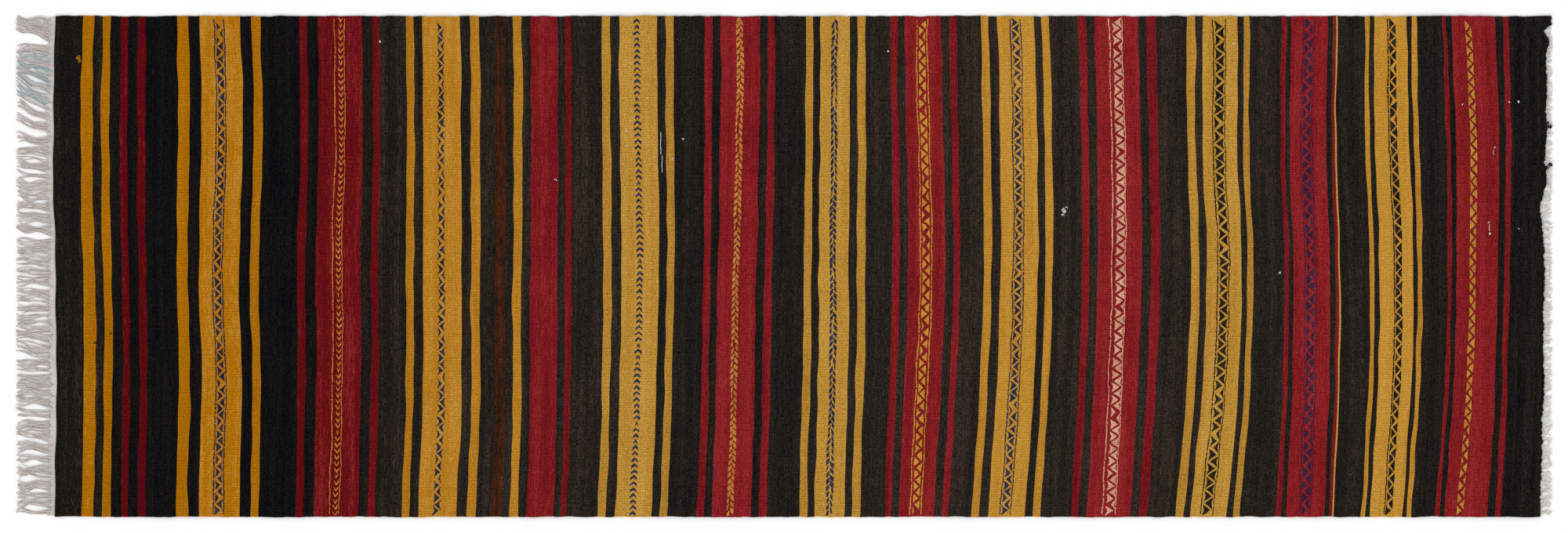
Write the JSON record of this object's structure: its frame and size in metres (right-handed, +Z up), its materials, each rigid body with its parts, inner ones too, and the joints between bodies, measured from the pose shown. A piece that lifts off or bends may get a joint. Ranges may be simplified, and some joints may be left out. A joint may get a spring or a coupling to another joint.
{
  "type": "runner rug",
  "caption": "Long striped flatweave wool runner rug with figured bands, a loose fringe at one end and worn stubs at the other, in leaves that fold up for storage.",
  "frame": {"origin": "middle of the underside, on the floor that the rug lies on", "axes": "+X along the length, from the long fringe to the worn end; +Y across the width, selvedge to selvedge; +Z up, out of the face"},
  "size_m": [3.0646, 1, 0.0032],
  "materials": {
    "dark_wool": "matt wool yarn, weft-faced flatweave",
    "yellow_wool": "matt wool yarn, weft-faced flatweave",
    "tan_wool": "matt wool yarn, weft-faced flatweave",
    "red_wool": "matt wool yarn, weft-faced flatweave",
    "rust_wool": "matt wool yarn, weft-faced flatweave",
    "orange_wool": "matt wool yarn, weft-faced flatweave",
    "navy_wool": "matt wool yarn, weft-faced flatweave",
    "gold_wool": "matt wool yarn, weft-faced flatweave",
    "cream_wool": "matt wool yarn, weft-faced flatweave",
    "purple_wool": "matt wool yarn, weft-faced flatweave",
    "warp_yarn": "matt undyed wool yarn, loosely spun"
  },
  "bodies": {
    "long_fringe_end": {"weft_dark_0": "dark_wool", "weft_yellow_0": "yellow_wool", "weft_red_0": "red_wool", "weft_yellow_1": "yellow_wool", "figure_navy_1": "navy_wool", "weft_dark_1": "dark_wool", "weft_red_2": "red_wool", "figure_gold_2": "gold_wool", "weft_dark_2a": "dark_wool", "warp_long_fringe_end": "warp_yarn", "fringe_long": "warp_yarn"},
    "middle_left": {"weft_dark_2b": "dark_wool", "weft_yellow_3": "yellow_wool", "figure_navy_3": "navy_wool", "weft_dark_3": "dark_wool", "weft_rust_3": "rust_wool", "weft_yellow_4": "yellow_wool", "weft_red_4": "red_wool", "weft_dark_4": "dark_wool", "weft_tan_5": "tan_wool", "figure_navy_5": "navy_wool", "weft_dark_5": "dark_wool", "weft_red_6": "red_wool", "figure_gold_6": "gold_wool", "weft_dark_6a": "dark_wool", "warp_middle_left": "warp_yarn"},
    "middle_right": {"weft_dark_6b": "dark_wool", "weft_tan_7": "tan_wool", "figure_navy_7": "navy_wool", "weft_dark_7": "dark_wool", "weft_red_8": "red_wool", "figure_yellow_8": "yellow_wool", "weft_dark_8": "dark_wool", "weft_yellow_9": "yellow_wool", "figure_navy_9": "navy_wool", "weft_dark_9": "dark_wool", "weft_red_10": "red_wool", "figure_cream_10": "cream_wool", "weft_dark_10a": "dark_wool", "warp_middle_right": "warp_yarn"},
    "short_fringe_end": {"weft_dark_10b": "dark_wool", "weft_tan_11": "tan_wool", "figure_dark_11": "dark_wool", "weft_dark_11": "dark_wool", "weft_red_12": "red_wool", "figure_purple_12": "purple_wool", "weft_dark_12": "dark_wool", "weft_orange_12": "orange_wool", "weft_yellow_13": "yellow_wool", "figure_dark_13": "dark_wool", "weft_dark_13": "dark_wool", "weft_red_14": "red_wool", "figure_tan_14": "tan_wool", "weft_dark_14": "dark_wool", "warp_short_fringe_end": "warp_yarn", "fringe_short": "warp_yarn"}
  },
  "joints": [
    {"name": "long_fringe_end_fold", "type": "hinge", "parent": "middle_left", "child": "long_fringe_end", "pos_m": [-0.78375, 0, 0.0053], "axis": [0, 1, 0], "range_deg": [0, 179.9]},
    {"name": "middle_fold", "type": "hinge", "parent": "middle_left", "child": "middle_right", "pos_m": [0.0065, 0, 0.0123], "axis": [0, -1, 0], "range_deg": [0, 179.9]},
    {"name": "short_fringe_end_fold", "type": "hinge", "parent": "middle_right", "child": "short_fringe_end", "pos_m": [0.77725, 0, 0.0053], "axis": [0, -1, 0], "range_deg": [0, 179.9]}
  ]
}
